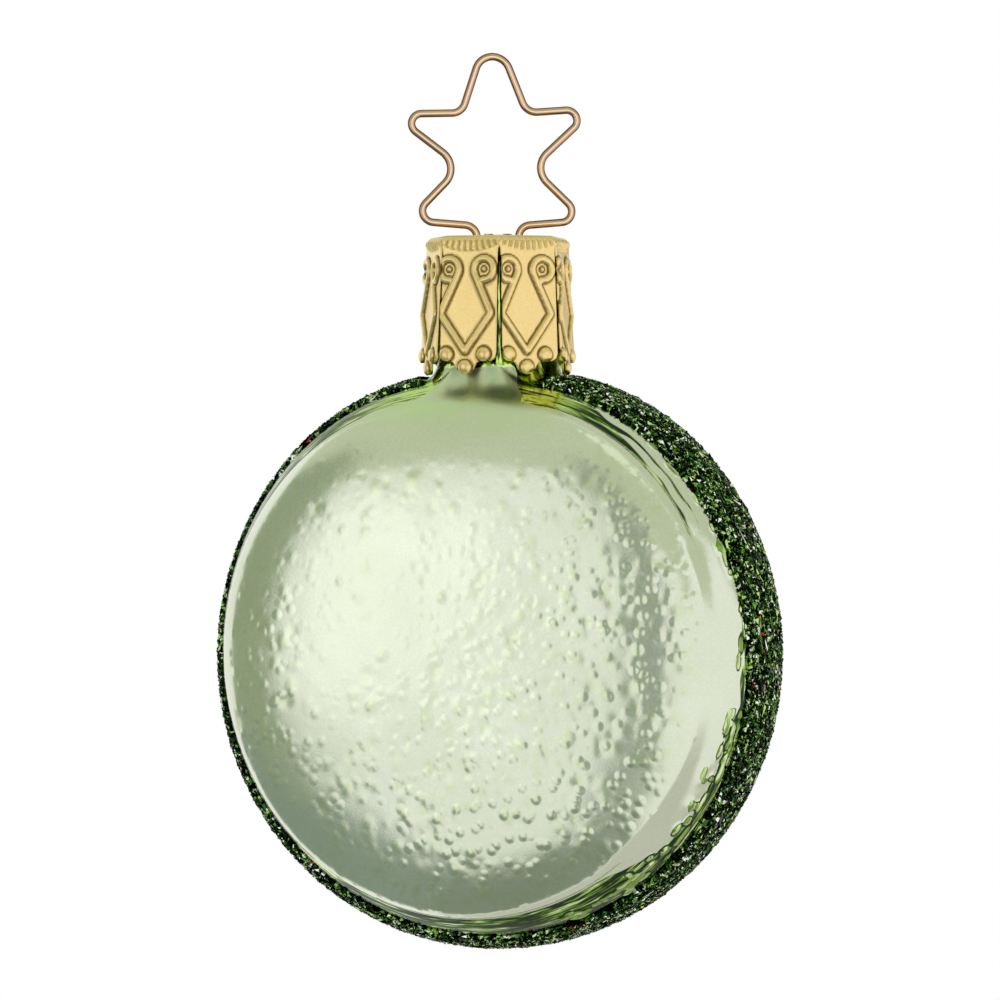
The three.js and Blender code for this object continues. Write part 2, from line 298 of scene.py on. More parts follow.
def ring_stations(inset, dome_rings, foot_rings, waist_rings):
    """Radius and depth of each ring, from a pole to the middle of the waist."""
    angle = np.linspace(0, math.pi / 2, 2001)
    radius = (crease_radius - inset) * np.sin(angle) ** (2 / dome_fullness)
    depth = crease_depth - inset + dome_rise * np.cos(angle) ** (2 / dome_fullness)
    run = np.concatenate([[0], np.cumsum(np.hypot(np.diff(radius), np.diff(depth)))])
    stops = np.linspace(0, run[-1], dome_rings + 1)
    waist = np.concatenate([np.linspace(crease_depth - inset, foot_ends, foot_rings + 1)[1:],
                            np.linspace(foot_ends, 0, waist_rings + 1)[1:]])
    radii = np.concatenate([np.interp(stops, run, radius), disc_radius(waist, inset)])
    return radii, np.concatenate([np.interp(stops, run, depth), waist])


def blown_disc(inset, around, dome_rings, foot_rings, waist_rings):
    """A grid rolled round the Y axis and drawn together at its two poles."""
    bm = bmesh.new()
    rings = 2 * (dome_rings + foot_rings + waist_rings)
    bmesh.ops.create_grid(bm, x_segments=around, y_segments=rings, size=1)
    u, v, _ = places(bm).T
    ring = np.rint((v + 1) / 2 * rings).astype(int)
    radii, depths = ring_stations(inset, dome_rings, foot_rings, waist_rings)
    from_pole = np.minimum(ring, rings - ring)
    turn = np.pi * u
    radius = radii[from_pole]
    depth = np.where(2 * ring < rings, -1, 1) * depths[from_pole]
    high = radius * np.sin(turn)
    wide = radius * np.cos(turn)
    put(bm, np.column_stack([wide, depth, high - sag_at(wide, high)]))
    bmesh.ops.remove_doubles(bm, verts=bm.verts, dist=0.0001)
    bmesh.ops.recalc_face_normals(bm, faces=bm.faces)
    return bm


# %% [markdown]
# The neck is drawn out of the hot glass, so it isn't a tube set on the disc: the glass over a round
# patch on top is pulled up into it. The same is done to the mesh. Vertices over that patch are
# moved in and up along a small fillet and then along the tube, and a plane cuts the tube off.

# %% The drawn neck
neck_radius = 5.8
patch_radius = 10.2
fillet_rise = 2.1
fillet_wide = 2.4
fillet_deep = 2.3
fillet_starts = 0.84
softened_below = 28.6
tube_starts = 0.55
tube_ends = 0.30


def draw_neck(bm, inset=0):
    rows = places(bm)
    x, y, z = rows.T
    reach = np.hypot(x, y)
    share = reach / patch_radius
    patch = (z > 0) & (share < 1)
    turn = np.arctan2(y, x)
    tube = neck_radius - inset
    foot = np.hypot((tube + fillet_wide) * np.cos(turn), (tube + fillet_deep) * np.sin(turn))

    on_disc = (share - fillet_starts) / (1 - fillet_starts)
    disc_reach = foot + (patch_radius - foot) * np.clip(on_disc, 0, 1)
    lean = np.clip((share - tube_starts) / (fillet_starts - tube_starts), 0, 1) * math.pi / 2
    fillet_reach = tube + (foot - tube) * (1 - np.cos(lean))
    tube_reach = tube * np.minimum(1, share / tube_ends)
    new_reach = np.where(share > tube_starts, fillet_reach, tube_reach)
    new_reach = np.where(on_disc > 0, disc_reach, new_reach)
    foot_height = disc_top(foot * np.cos(turn), foot * np.sin(turn), inset)
    climb = np.clip((share - tube_ends) / (tube_starts - tube_ends), 0, 1)
    above = neck_top + 1
    tube_height = above + (foot_height + fillet_rise - above) * climb
    fillet_height = foot_height + fillet_rise * (1 - np.sin(lean))
    flat = disc_top(disc_reach * np.cos(turn), disc_reach * np.sin(turn), inset)
    height = np.where(on_disc > 0, flat, np.where(share > tube_starts, fillet_height, tube_height))
    drawn = np.column_stack([new_reach * np.cos(turn), new_reach * np.sin(turn), height])
    put(bm, np.where(patch[:, None], drawn, rows))
    return share


def cut_neck(bm):
    everything = bm.verts[:] + bm.edges[:] + bm.faces[:]
    bmesh.ops.bisect_plane(bm, geom=everything, plane_co=(0, 0, neck_top), plane_no=(0, 0, 1),
                           clear_outer=True)


# %% [markdown]
# The mould leaves a skin of small round blisters and pits, most of them low on the right, over slow
# swells. The satin lacquer runs down over the crease there and ends in a ruffled foot of flat
# bubbles; on the left it stops at the crease. High on the right it leaves two clear lines that taper
# off down the crease. All are seeded, so that they come out alike each time. Spans on the rim are
# angles in radians from the right, and each has where it rises and where it falls.

# %% Blisters, swells and the ruffled foot
blister_count = 640
blister_radius = (0.45, 1.05)
blister_height = 0.050
swell_height = 0.09
swell_size = 9.0
ripple_height = 0.016
ripple_size = 2.4
spill_reach = 2.75
spill_wave = 0.5
spill_span = (-1.05, -0.65, 1.15, 1.40)
ruffle_span = (-1.15, -0.95, -0.30, -0.05)
ruffle_draws_in = 0.35
edge_wave_radius = 18
edge_wave_size = 2.0
neck_tongue = 3.4
bubble_count = 250
bubble_height = 0.24
bubble_half_length = (0.40, 1.3)
bubble_half_width = (0.26, 0.55)
bubble_turn_limits = (-1.25, 0.85)
bubble_spread = 0.50
bubble_clears = 3.0
groove_half_width = 0.17
groove_at_neck = 0.9
groove_span = (0.24, 0.34, 1.25, 1.45)
groove_taper = (0.28, 0.60)
groove_margin = 0.3
second_groove_out = 0.95
second_groove_thinner = 0.07
satin_start_beside = 0.74
satin_lower_ahead = 0.185
dark_reflection_middle = (8.5, 24.7)
dark_reflection_reach = (5.0, 0.8)
chance = np.random.default_rng(7)


def lumps(across, up, centres, sizes, heights):
    """Rounded lumps over centres in a plane. A size has a half width for each way."""
    height = np.zeros(len(across))
    for (centre_across, centre_up), (wide, tall), lift in zip(centres, sizes, heights):
        distance = ((across - centre_across) / wide) ** 2 + ((up - centre_up) / tall) ** 2
        near = distance < 1
        height[near] += lift * (1 - distance[near]) ** 2
    return np.clip(height, -1, 1)


def crowding(x, z, low_side):
    """How thick the blisters stand, from 0 to 1: most of them to the low side, some at the far edge."""
    low = soft_step(x * low_side[0] + z * low_side[1], -9, 11)
    far_edge = soft_step(-x * np.sign(low_side[0]), 15, 19) * (1 - soft_step(np.abs(z + 2), 7, 13))
    return np.clip(0.10 + 0.90 * low + 0.5 * far_edge, 0, 1)


def blisters(x, z, low_side):
    centres = []
    while len(centres) < blister_count:
        spot = chance.uniform(-crease_radius, crease_radius, 2)
        if np.hypot(*spot) < crease_radius - 1.2 and chance.random() < crowding(*spot, low_side):
            centres.append(spot)
    radius = chance.uniform(*blister_radius, blister_count)
    lift = chance.uniform(0.4, 1.0, blister_count) * chance.choice([1, 1, -1], blister_count)
    return lumps(x, z, centres, np.column_stack([radius * 0.9, radius * 1.1]), lift)


bulb = blown_disc(0, 420, 84, 21, 4)
rows = places(bulb)
x, y, z = rows.T
turn = np.arctan2(z, x)
front = y < 0
low_front = np.array([0.80, -0.60])
low_back = np.array([-0.80, -0.60])
raised = np.where(front, blisters(x, z, low_front), blisters(x, z, low_back))
crowded = np.where(front, crowding(x, z, low_front), crowding(x, z, low_back))
on_dome = soft_step(np.abs(y), crease_depth, crease_depth + 1.2)
below_neck = 1 - soft_step(z, 17, 23)
swell = cloud(rows, swell_size, 1)
ripple = cloud(rows, ripple_size, 2)

wave_ring = edge_wave_radius * np.column_stack([np.cos(turn), np.sin(turn), 0 * y])
edge_wave = cloud(wave_ring, edge_wave_size, 3)
to_right = np.where(front, turn, np.arctan2(z, -x))
spilled = within(to_right, *spill_span)
ruffled = within(to_right, *ruffle_span)
ruffled_reach = spill_reach - ruffle_draws_in * ruffled + spill_wave * (1 + ruffled) * edge_wave
under_neck = soft_step(z, 20, 24) * (1 - soft_step(np.abs(x), 3.0, 6.0))
satin_edge = crease_depth - 0.1 - spilled * ruffled_reach - neck_tongue * under_neck
satin_inside = np.abs(y) - satin_edge

bubble_turns = chance.uniform(*bubble_turn_limits, bubble_count)
bubble_turns = bubble_turns[chance.random(bubble_count) < 0.3 + 0.7 * (bubble_turns < -0.2)]
bubble_sides = chance.choice([-1, 1], len(bubble_turns))
bubble_depths = crease_depth - spill_reach + chance.normal(0.30, bubble_spread, len(bubble_turns))
bubble_sizes = np.column_stack([chance.uniform(*bubble_half_length, len(bubble_turns)),
                                chance.uniform(*bubble_half_width, len(bubble_turns))])
bubble_centres = np.column_stack([bubble_turns * waist_radius, bubble_sides * bubble_depths])
bubbles = lumps(to_right * waist_radius, y, bubble_centres, bubble_sizes, np.ones(len(bubble_turns)))

share = draw_neck(bulb)
bulb.normal_update()
normals = np.array([vertex.normal for vertex in bulb.verts])
swelling = on_dome * below_neck
push = swelling * (blister_height * raised + swell_height * swell + ripple_height * ripple)
push = push + bubble_height * bubbles
put(bulb, places(bulb) + normals * push[:, None])

# %% Where the satin ends
facing = np.abs(y) / np.maximum(np.hypot(x, y), 0.01)
satin_starts = satin_start_beside - satin_lower_ahead * soft_step(facing, 0.45, 0.85)
on_patch = (z > 0) & (share < 1.0)
past_neck = np.minimum(satin_inside, (share - satin_starts) * patch_radius)
satin_inside = np.where(on_patch, past_neck, satin_inside)
satin_inside = satin_inside - bubble_clears * bubbles * (satin_inside < 2.2)

widened = groove_at_neck * soft_step(to_right, 0.80, 1.30)
from_first = np.abs(np.abs(y) - crease_depth + 0.25 * ripple + 0.6 * widened)
from_second = np.abs(np.abs(y) - crease_depth + second_groove_out + 0.35 * ripple)
from_line = np.minimum(from_first, from_second + second_groove_thinner)
tapered = groove_half_width * (2 * soft_step(to_right, *groove_taper) - 1)
near_line = from_line < groove_half_width + widened + groove_margin
in_groove = within(to_right, *groove_span) * near_line
past_groove = np.minimum(satin_inside, from_line - tapered - widened)
satin_inside = np.where(in_groove > 0.5, past_groove, satin_inside)

# %% [markdown]
# Where the neck was drawn out the rings are uneven, which a mirror would show. Rounds of smoothing
# even them out: once round the neck and along the filled crease, then over ever smaller patches
# before the neck, so that no hard line is left where the smoothing ends.

# %% Smoothing, and what the mesh carries
def soften(verts, rounds):
    for _ in range(rounds):
        bmesh.ops.smooth_vert(bulb, verts=verts, factor=0.5,
                              use_axis_x=True, use_axis_y=True, use_axis_z=True)


near_neck = (z > 19) & (np.hypot(x, y) < 12.5) & (places(bulb)[:, 2] < softened_below)
filled_crease = (spilled > 0.3) & (to_right < 0.42) & (np.abs(np.abs(y) - crease_depth) < 1.3)
passes = [(near_neck, 30), (filled_crease, 30)]
for inward in np.linspace(0, 3.6, 10):
    passes.append(((z > 18 + inward) & (np.abs(x) < 11.5 - inward) & (np.abs(y) > 5.0), 9))
for chosen, rounds in passes:
    soften([vertex for vertex, picked in zip(bulb.verts, chosen) if picked], rounds)

neckward = soft_step(z, 19, 24.5) * (1 - soft_step(np.abs(x), 8, 13))
drawn_x, drawn_y, drawn_z = places(bulb).T
# A soft dark green band on each face, high on the right under the neck: a painted dark reflection.
dark_reflection_across = (drawn_x * np.where(front, 1, -1) - dark_reflection_middle[0]) / dark_reflection_reach[0]
dark_reflection_up = (drawn_z - dark_reflection_middle[1]) / dark_reflection_reach[1]
painted_dark_reflection = np.exp(-(dark_reflection_across ** 2 + dark_reflection_up ** 2)) * (np.abs(drawn_y) > 5)
carried_values = {"satin_inside": satin_inside, "pooled": np.abs(raised) * swelling,
                  "crowded": crowded * on_dome, "bubble": bubbles, "neckward": neckward,
                  "painted_dark_reflection": painted_dark_reflection}
for name, values in carried_values.items():
    layer = bulb.verts.layers.float.new(name)
    for vertex, value in zip(bulb.verts, values):
        vertex[layer] = value
cut_neck(bulb)
print(f"outside of the glass: {len(bulb.faces)} faces, {len(bubble_turns)} bubbles in its foot")

# %% [markdown]
# Blown glass is hollow. A coarser wall is made inside in the same way, turned to face the hollow,
# and joined to the outside round the open rim of the neck.

# %% The hollow and the rim
hollow = blown_disc(glass_wall, 96, 18, 4, 3)
draw_neck(hollow, glass_wall)
cut_neck(hollow)
bmesh.ops.reverse_faces(hollow, faces=hollow.faces)
absorb(bulb, hollow)
rim = [edge for edge in bulb.edges if edge.is_boundary]
bmesh.ops.bridge_loops(bulb, edges=rim)
print("open edges left on the glass:", sum(edge.is_boundary for edge in bulb.edges))

# %% [markdown]
# The glass is silvered inside, so it is a mirror under its lacquer. The faces wear a satin
# pearl-green lacquer that blurs what they mirror; the neck, the crease and the foot are clear deep
# green and keep sharp reflections. Their lime green is painted with streaks: near-black streaks are
# painted dark reflections and pale streaks painted highlights, and near the neck lime streaks are
# painted highlights too. Bubbles in the foot have painted shade round their rims and painted
# highlights in their cores, and a dark green band painted high on the right of each face, under the
# neck, is a painted dark reflection. Where the lacquer gathered on a blister its green is deeper.

# %% Finish of the glass
glass = new_finish("pearl_green_glass")
satin = glass.carried("satin_inside").step(-0.05, 0.09)
cell = glass.node("TexVoronoi", {"feature": "SMOOTH_F1"},
                  {"Vector": glass.place(), "Scale": 1 / (1.35 * mm), "Smoothness": 0.35})
dimple = cell.step(0.05, 0.50, 1, 0) * (glass.carried("crowded") * 0.85 + 0.15)
drift = glass.grain(11, 2).step(0.35, 0.7)
pearl = glass.mix(drift, (0.73, 0.775, 0.62), (0.77, 0.815, 0.67))
fine = glass.grain(0.24, 2)
pearl = glass.mix(fine.step(0.66, 0.42) * 0.10, pearl, (0.42, 0.50, 0.32))
pearl = glass.mix(dimple * 0.12 + glass.carried("pooled") * 0.30, pearl, (0.55, 0.70, 0.30))
cloudy = glass.grain(3.2, 2).step(0.38, 0.66) * 0.35 + 0.30
pearl = glass.mix(glass.carried("neckward") * cloudy, pearl, (0.60, 0.82, 0.38))
# The painted dark reflection under the neck.
pearl = glass.mix(glass.carried("painted_dark_reflection") * 0.85, pearl, (0.07, 0.17, 0.02))
lengthwise = glass.node("Mapping", sockets={"Vector": glass.place(), "Scale": (1 / 14, 1, 1 / 14)})
streak = glass.grain(0.34, 3, 0.6, lengthwise)
# Painted reflections in the clear green: near-black below the lime as painted dark reflection, pale
# streaks as painted highlights.
deep = glass.mix(streak.step(0.50, 0.58), (0.005, 0.024, 0.004), (0.20, 0.38, 0.03))
deep = glass.mix(streak.step(0.58, 0.65), deep, (0.76, 0.88, 0.50))
# Bright lime streaks near the neck: painted highlights.
deep = glass.mix(glass.carried("neckward") * streak.step(0.40, 0.50), deep, (0.62, 0.90, 0.20))
bubble = glass.carried("bubble")
# Bubbles: painted shade round their rims, painted highlights in their lime cores.
deep = glass.mix(bubble.step(0.03, 0.15), deep, (0.010, 0.040, 0.004))
inner = glass.mix(streak.step(0.48, 0.60), (0.20, 0.33, 0.05), (0.66, 0.78, 0.40))
deep = glass.mix(bubble.step(0.25, 0.50), deep, inner)
pearl_glass = glass.surface(
    Base_Color=glass.mix(satin, deep, pearl),
    Metallic=1.0,
    Roughness=satin * (fine * 0.06 + 0.09 + glass.carried("neckward") * 0.16) + 0.06,
    Coat_Weight=(1 - satin) * 0.4,
    Coat_Roughness=0.03,
    Normal=glass.bump((dimple * 0.70 + fine * 0.05) * satin + streak * (1 - satin) * 0.6, 0.07),
)
finished_piece("bulb", bulb, disc_middle, 0, "glass", "glass_bulb", pearl_glass)

# %% [markdown]
# ## The glitter
# Glue is brushed round the waist and the disc is rolled in glitter. A crust of glue and half-sunk
# flakes comes first: a ring of round section is spun about the disc's axis, laid on the glass, and
# roughened so that each small face tilts its own way.

# %% Crust of the coat
crust_steps = 560
crust_sides = 64
crust_rough = 0.09
coat_edge_wave = 0.30
coat_neck_margin = 0.5
coat_clear = 0.04
coat_lean = 0.5
coat_wander = 1.1
flake_allowance = 0.22
neck_gap = neck_radius + 1.6 + coat_neck_margin


def coat_turn(share, depth):
    """Angle round the disc from straight down, for a share of the coat's run. It stops at the neck."""
    stop = math.pi - np.arcsin(np.sqrt(neck_gap ** 2 - depth ** 2) / coat_radius)
    return (2 * share - 1) * stop


def on_coat(share, depth, height):
    """A place on the coat, by its height over the glass. The coat wanders a little on the waist."""
    angle = coat_turn(share, depth)
    depth = depth + coat_lean * np.sin(angle) + coat_wander * np.sin(2 * angle)
    radius = disc_radius(depth) + height
    x = radius * np.sin(angle)
    z = -radius * np.cos(angle)
    return np.column_stack([x, depth, z - sag_at(x, z)])


crust = bmesh.new()
bmesh.ops.create_circle(crust, segments=crust_sides, radius=1)
bmesh.ops.rotate(crust, verts=crust.verts, matrix=Matrix.Rotation(math.pi / 2, 3, "X"))
bmesh.ops.translate(crust, verts=crust.verts, vec=(4, 0, 0))
bmesh.ops.spin(crust, geom=crust.verts[:] + crust.edges[:], cent=(0, 0, 0), axis=(0, 0, 1),
               angle=1.0, steps=crust_steps)
bmesh.ops.holes_fill(crust, edges=[edge for edge in crust.edges if edge.is_boundary])
x, y, z = places(crust).T
share = np.arctan2(y, x)
out = np.hypot(x, y) - 4
width = coat_half_width * z
thickness = coat_radius - waist_radius
wave = cloud(np.column_stack([share * 180, np.sign(z) * 5, 0 * z]), 1.6, 5)
width = width + coat_edge_wave * wave * np.abs(z) ** 3 * np.sign(z)
height = coat_clear + (thickness - flake_allowance) * np.where(out > 0, np.sqrt(np.maximum(out, 0)), 0)
rough = chance.normal(0, crust_rough, (len(x), 3)) * (out > 0.05)[:, None]
put(crust, on_coat(share, width, height) + rough)
bmesh.ops.recalc_face_normals(crust, faces=crust.faces)
order_faces(crust)

# %% [markdown]
# The loose flakes on top are tiny chips. One three-cornered wedge, whose point hides in the glue, is
# doubled over and over, then every copy is turned, tilted and laid on the crust in one sum. Their tints
# are partly painted light: most are painted nearly black as painted shade, and the bright green and
# white ones are painted glints; the mid greens and the odd red one are the glitter's own colours. The
# crust's small faces wear the same tints.

# %% Flakes
flake_count = 45000
flake_width = (0.19, 0.30)
flake_thickness = 0.07
flake_tilt = 0.55
flake_lift = (-0.03, 0.12)
# Tints: the two darkest are painted shade, the lime and the white are painted glints, the rest are the
# glitter's own colours.
tints = np.array([
    (0.002, 0.004, 0.002), (0.010, 0.030, 0.008), (0.040, 0.13, 0.020),
    (0.14, 0.33, 0.05), (0.50, 0.72, 0.24), (0.92, 0.98, 0.86), (0.60, 0.03, 0.02),
])
tint_shares = [0.38, 0.21, 0.14, 0.09, 0.10, 0.077, 0.003]

flakes = bmesh.new()
bmesh.ops.create_cone(flakes, cap_ends=True, segments=3, radius1=0.65, radius2=0, depth=1)
bmesh.ops.translate(flakes, verts=flakes.verts, vec=(0, 0, 0.5))
corners = len(flakes.verts)
while len(flakes.verts) < corners * flake_count:
    bmesh.ops.duplicate(flakes, geom=flakes.verts[:] + flakes.edges[:] + flakes.faces[:])
flakes.verts.ensure_lookup_table()
bmesh.ops.delete(flakes, geom=flakes.verts[corners * flake_count:], context="VERTS")

flake_depth = chance.uniform(-1, 1, flake_count) * (coat_half_width + 0.05)
flake_share = chance.uniform(0, 1, flake_count)
crown_of_coat = np.sqrt(np.maximum(0, 1 - (flake_depth / (coat_half_width + 0.1)) ** 2)) ** 0.5
flake_height = coat_clear + (thickness - flake_allowance) * crown_of_coat
flake_height = flake_height + chance.uniform(*flake_lift, flake_count)
middle = on_coat(flake_share, flake_depth, flake_height)
outward = on_coat(flake_share, flake_depth, flake_height + 1) - middle
outward = outward + chance.normal(0, flake_tilt, outward.shape)
outward = outward / np.linalg.norm(outward, axis=1)[:, None]
aside = np.cross(outward, chance.normal(0, 1, outward.shape))
aside = aside / np.linalg.norm(aside, axis=1)[:, None]
onward = np.cross(outward, aside)
size = chance.uniform(*flake_width, flake_count)
corner = places(flakes).reshape(flake_count, corners, 3)
laid = middle[:, None] + size[:, None, None] * (corner[:, :, :1] * aside[:, None]
                                                + corner[:, :, 1:2] * onward[:, None])
laid = laid - flake_thickness * corner[:, :, 2:] * outward[:, None]
put(flakes, laid.reshape(-1, 3))
bmesh.ops.recalc_face_normals(flakes, faces=flakes.faces)

# %% Finish of the glitter
glitter = new_finish("green_glitter")
tint = glitter.carried("flake_tint", "Color")
green_glitter = glitter.surface(
    Base_Color=tint,
    Metallic=1.0,
    Roughness=0.22,
)


def carry_tints(made, kind, size, tint_list):
    carried = made.data.attributes.new("flake_tint", "FLOAT_COLOR", kind)
    opaque = np.column_stack([tint_list, np.ones(len(tint_list))])
    carried.data.foreach_set("color", opaque.repeat(size, axis=0).ravel())


crust_piece = finished_piece("glitter_crust", crust, disc_middle, 0, "glass", "glitter_band",
                             green_glitter, smooth=False)
crust_faces = len(crust_piece.data.polygons)
carry_tints(crust_piece, "FACE", 1, tints[chance.choice(len(tints), crust_faces, p=tint_shares)])
flakes_piece = finished_piece("glitter_flakes", flakes, disc_middle, 0, "glass", "glitter_band",
                              green_glitter, smooth=False)
flake_tints = tints[chance.choice(len(tints), flake_count, p=tint_shares)]
carry_tints(flakes_piece, "POINT", corners, flake_tints)

# %% [markdown]
# ## The crown cap
# The cap is stamped from one thin sheet: a plate, a fold round it, and seven petals parted by
# slits. Beads, scrolls and a lozenge are pressed into each petal, and flutes run over the fold. A
# petal starts as a fine grid. It is laid out flat on the blank, where each vertex is told how high
# the relief stands over it, and then the sheet is folded, which is how the press makes it.

# %% The blank of a petal
petal_count = 7
sheet = 0.35
fold_radius = 0.75
petal_splay = math.radians(3)
cap_clearance = 0.3
sector = math.pi / petal_count
cap_apothem = neck_radius + cap_clearance + sheet
fold_start = cap_apothem - fold_radius
fold_angle = math.pi / 2 - petal_splay
fold_end = fold_start + fold_radius * fold_angle
shoulder_rise = 1.25
corner_radius = 0.9
lobe_radius = 1.05
slit_top = 1.0
slit_width = (0.42, 0.85)
stamp_shift = 0.35
tip_bend = 0.22
tip_bend_starts = 1.8
petal_flare = 0.67
petal_foot = (cap_apothem + petal_flare) * math.tan(sector) - slit_width[1] / 2


def folded(along):
    """How far out and up a place on the flat blank goes once the sheet is folded."""
    angle = np.clip((along - fold_start) / fold_radius, 0, fold_angle)
    below = np.maximum(0, along - fold_end)
    out = np.minimum(along, fold_start) + fold_radius * np.sin(angle) + below * math.sin(petal_splay)
    down = fold_radius * (1 - np.cos(angle)) + below * math.cos(petal_splay)
    past = (down - cap_height + tip_bend_starts) / tip_bend_starts
    tucked = tip_bend * np.clip(past, 0, 1) ** 2
    return out - tucked, -down


def scalloped_end(across):
    """How far down a petal reaches, below the plate: shoulders with round corners, and a lobe."""
    shoulder = cap_height - shoulder_rise
    in_corner = np.clip(np.abs(across) - (petal_foot - corner_radius), 0, corner_radius)
    shoulder = shoulder - corner_radius + np.sqrt(corner_radius ** 2 - in_corner ** 2)
    from_lobe = np.abs(across - stamp_shift)
    lobe = cap_height - lobe_radius + np.sqrt(np.maximum(0, lobe_radius ** 2 - from_lobe ** 2))
    fillet = shoulder_rise * 0.35 * np.exp(-np.maximum(0, from_lobe - lobe_radius) / 0.16)
    return np.where(from_lobe < lobe_radius, np.maximum(lobe, shoulder + fillet), shoulder + fillet)


# %% [markdown]
# Scrolls and star are both lines that run straight from pin to pin and bend round each, so one
# function draws both. Pins are complex numbers, which makes a turn a multiplication.

# %% Lines round pins
def line_round_pins(pins, arc_step):
    """Points on the line. A bend is positive where the line turns left round its pin."""
    lefts = []
    for (place, bend), (next_place, next_bend) in zip(pins, pins[1:]):
        along = next_place - place
        lean = (next_bend - bend) / abs(along)
        lefts.append(along / abs(along) * complex(lean, math.sqrt(1 - lean * lean)))
    points = []
    for i, (place, bend) in enumerate(pins):
        arrive = lefts[max(i - 1, 0)]
        leave = lefts[min(i, len(lefts) - 1)]
        sweep = np.angle(leave / arrive)
        if bend * sweep < 0:
            sweep += 2 * math.pi * np.sign(bend)
        steps = max(1, math.ceil(abs(sweep) / arc_step)) if bend else 0
        for k in range(steps + 1):
            points.append(place - bend * arrive * np.exp(1j * sweep * k / max(steps, 1)))
    return np.array([p for i, p in enumerate(points) if i == 0 or abs(p - points[i - 1]) > 1e-6])


def distance_to_line(places_flat, line):
    """Distance from each place to the nearest point of a line of short runs."""
    nearest = np.full(len(places_flat), 1e9)
    for start, end in zip(line, line[1:]):
        run = end - start
        share = np.clip(((places_flat - start) / run).real, 0, 1)
        nearest = np.minimum(nearest, np.abs(places_flat - start - share * run))
    return nearest


# %% The relief of a petal
ridge_radius = 0.34
ridge_relief = 0.30
scroll_radius = 1.05
scroll_reach = 1.85
scroll_depth = 3.35
diamond_reach = 2.65
diamond_depth = 7.6
diamond_bottom = 11.35
bead_radius = 0.72
bead_reach = 2.0
bead_relief = 0.40
eye_radius = 0.24
eye_relief = 0.22
flutes_per_petal = 10
flute_relief = 0.13
flute_outer = 7.75
moat_depth = 0.11
moat_width = 0.11


def dome_over(distance, radius, relief):
    return relief * np.sqrt(np.clip(1 - (distance / radius) ** 2, 0, 1))


def moat_round(distance, radius):
    return moat_depth * np.exp(-(((distance - radius - 0.06) / moat_width) ** 2))


def stamped_relief(across, along, down):
    spot = (across - stamp_shift) - 1j * down
    scroll = [(scroll_reach - 0.15 * scroll_radius - 1j * (scroll_depth + 1.03 * scroll_radius), 0),
              (scroll_reach - 1j * scroll_depth, scroll_radius),
              (diamond_reach - ridge_radius - 1j * diamond_depth, -ridge_radius),
              (0 - 1j * diamond_bottom, 0)]
    line = line_round_pins(scroll, math.radians(12))
    mirrored = -spot.conjugate()
    to_ridge = np.minimum(distance_to_line(spot, line), distance_to_line(mirrored, line))
    to_eye = np.abs(np.abs(spot.real) - scroll_reach + 1j * (spot.imag + scroll_depth))
    shoulder_row = cap_height - shoulder_rise - bead_radius
    to_bead = np.minimum(
        np.abs(np.abs(spot.real) - bead_reach + 1j * (spot.imag + shoulder_row)),
        np.abs(spot + 1j * (cap_height - bead_radius)),
    )
    raised = dome_over(to_ridge, ridge_radius, ridge_relief)
    raised = np.maximum(raised, dome_over(to_eye, eye_radius, eye_relief))
    raised = np.maximum(raised, dome_over(to_bead, bead_radius, bead_relief))
    moat = np.maximum(moat_round(to_ridge, ridge_radius), moat_round(to_bead, bead_radius))
    moat = np.maximum(moat, moat_round(to_eye, eye_radius))

    pitch = 2 * math.pi / (petal_count * flutes_per_petal)
    angle = np.arctan2(across, np.maximum(along, 0.1))
    comb = np.clip(0.15 - np.cos(2 * math.pi * angle / pitch), 0, 1) ** 0.6
    start = soft_step(along, fold_end - 0.45, fold_end - 0.15)
    end = 1 - soft_step(along, flute_outer * np.cos(angle) - 0.18, flute_outer * np.cos(angle))
    flutes = flute_relief * comb * start * end
    groove = flute_relief * 0.4 * (1 - comb) * start * end
    below_fold = soft_step(along, fold_end + 0.1, fold_end + 0.3)
    raised = np.maximum(raised * below_fold, flutes)
    recess = np.maximum(moat * below_fold, groove)
    return np.where(raised > 0.02, raised, -recess), recess / moat_depth


# %% [markdown]
# Rows of the grid are close together where the relief is, and the last ones follow the scalloped
# end, so that the edge is as smooth as a cut one. Seven petals are merged along the plate, the two
# holes for the wire are opened, and the sheet gets its thickness. The relief is raised last, on the
# outside alone: a ridge that runs over the edge of a petal then ends in a clean cut.

# %% The whole cap
petal_columns = 60
petal_rows = 102
plate_share = 0.11
fold_share = 0.20
end_share = 0.80
straight_stops = 3.2


